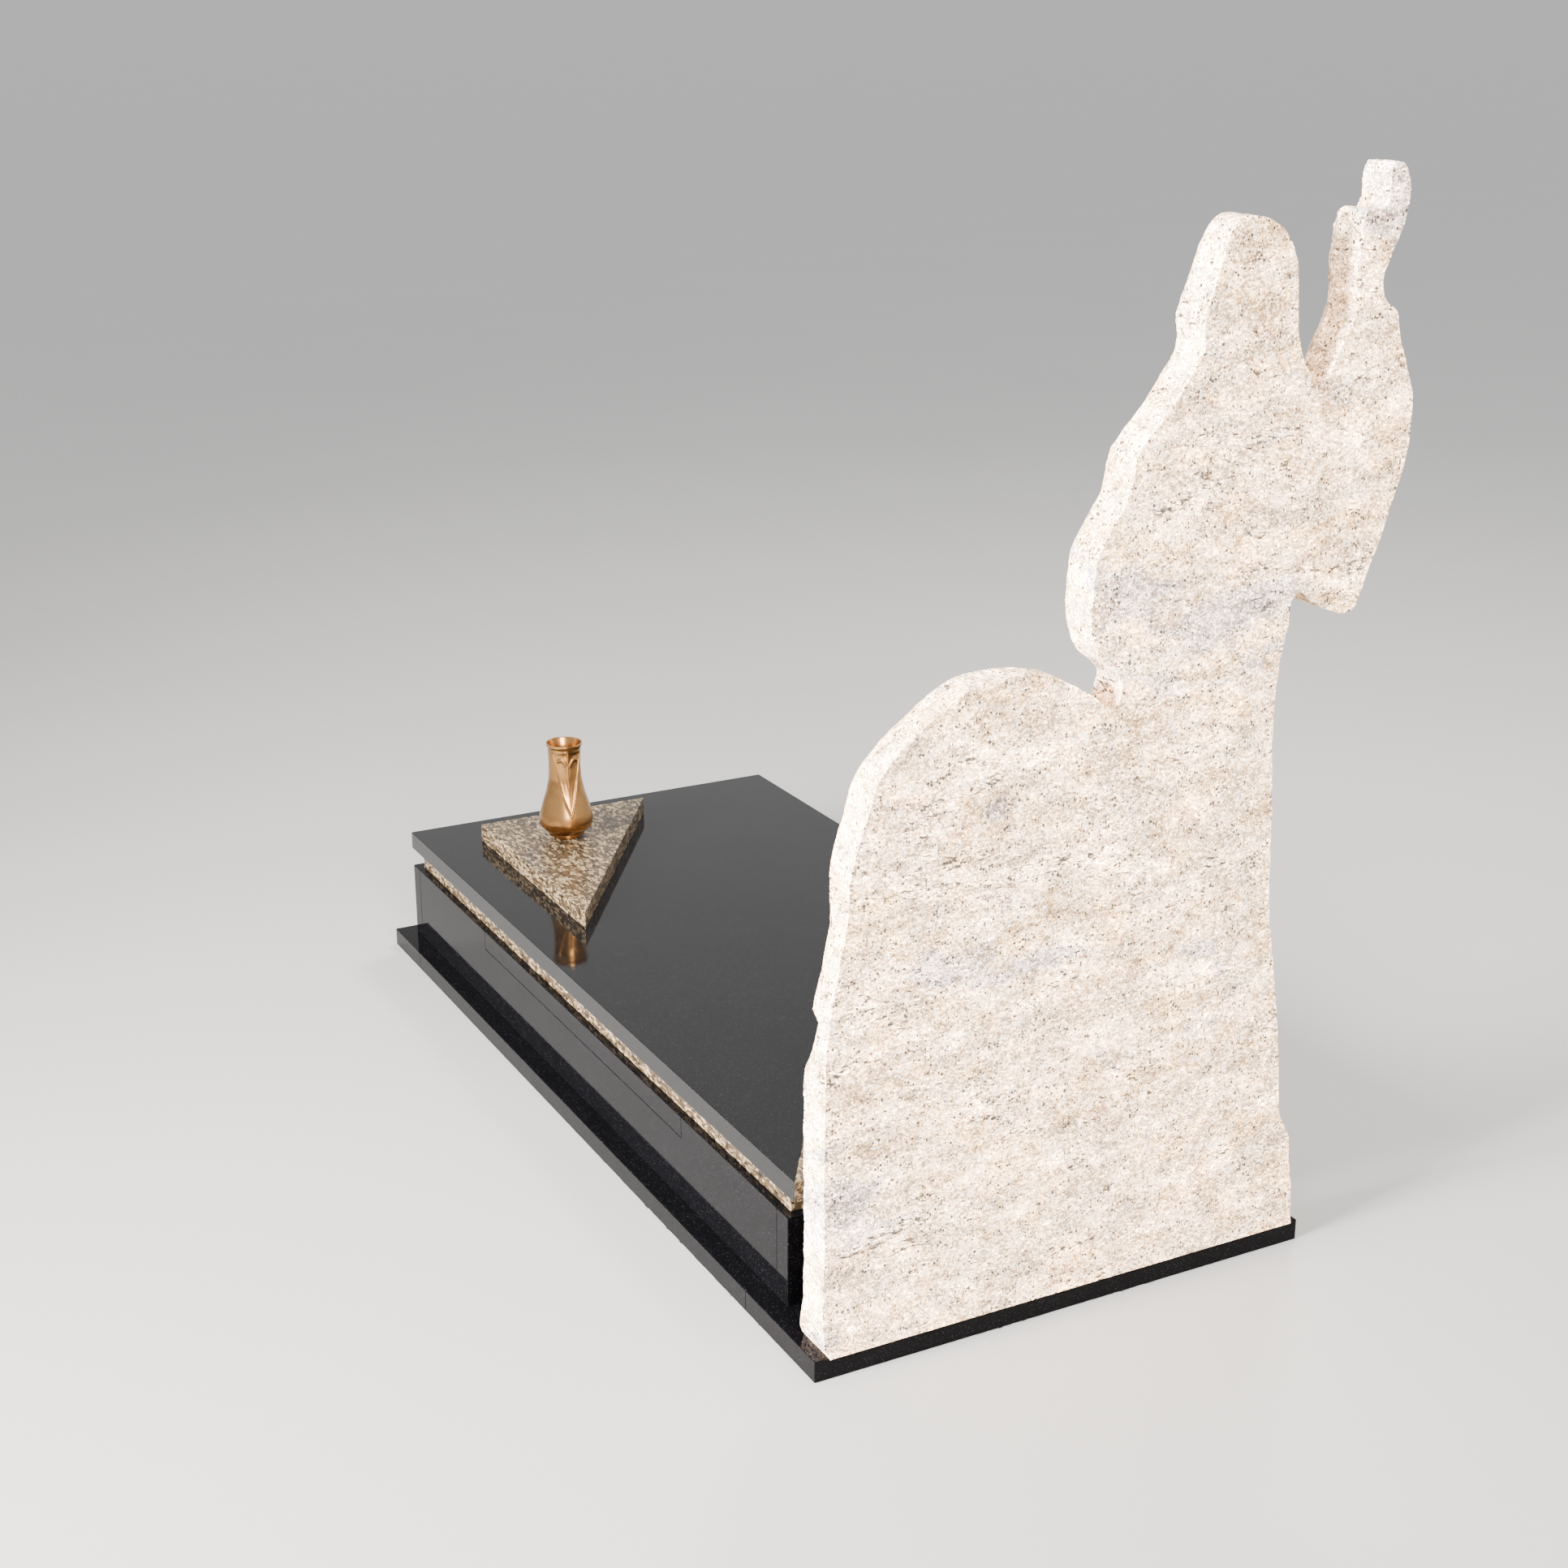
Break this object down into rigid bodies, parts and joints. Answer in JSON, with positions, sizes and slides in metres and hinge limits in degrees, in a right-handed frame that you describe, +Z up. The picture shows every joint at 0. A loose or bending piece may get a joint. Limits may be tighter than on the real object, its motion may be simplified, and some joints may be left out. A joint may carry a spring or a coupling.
{
  "type": "headstone",
  "caption": "Grave monument with kerb, cover slabs and a vase, and a pale granite headstone carved as a robed, blessing figure beside a rock.",
  "frame": {"origin": "on the ground, under the middle of the back strip of the base", "axes": "+Z up, +Y towards the headstone's back along the grave's length, +X to the side of the vase and the rock"},
  "size_m": [1.102, 2.106, 1.906],
  "materials": {
    "black_granite": "polished black granite",
    "brown_granite": "polished brown granite",
    "pale_granite": "sawn pale granite with dark specks",
    "bronze": "polished warm bronze"
  },
  "bodies": {
    "root": {"base_front": "black_granite", "base_back": "black_granite", "base_left": "black_granite", "base_right": "black_granite", "kerb_front": "black_granite", "kerb_back": "black_granite", "kerb_left": "black_granite", "kerb_right": "black_granite", "kerb_insert": "black_granite", "band_left": "brown_granite", "band_right": "brown_granite", "band_front": "brown_granite", "band_back": "brown_granite", "cover_black": "black_granite", "cover_brown": "brown_granite", "corner_slab": "brown_granite", "vase": "bronze", "headstone": "pale_granite"}
  },
  "joints": []
}
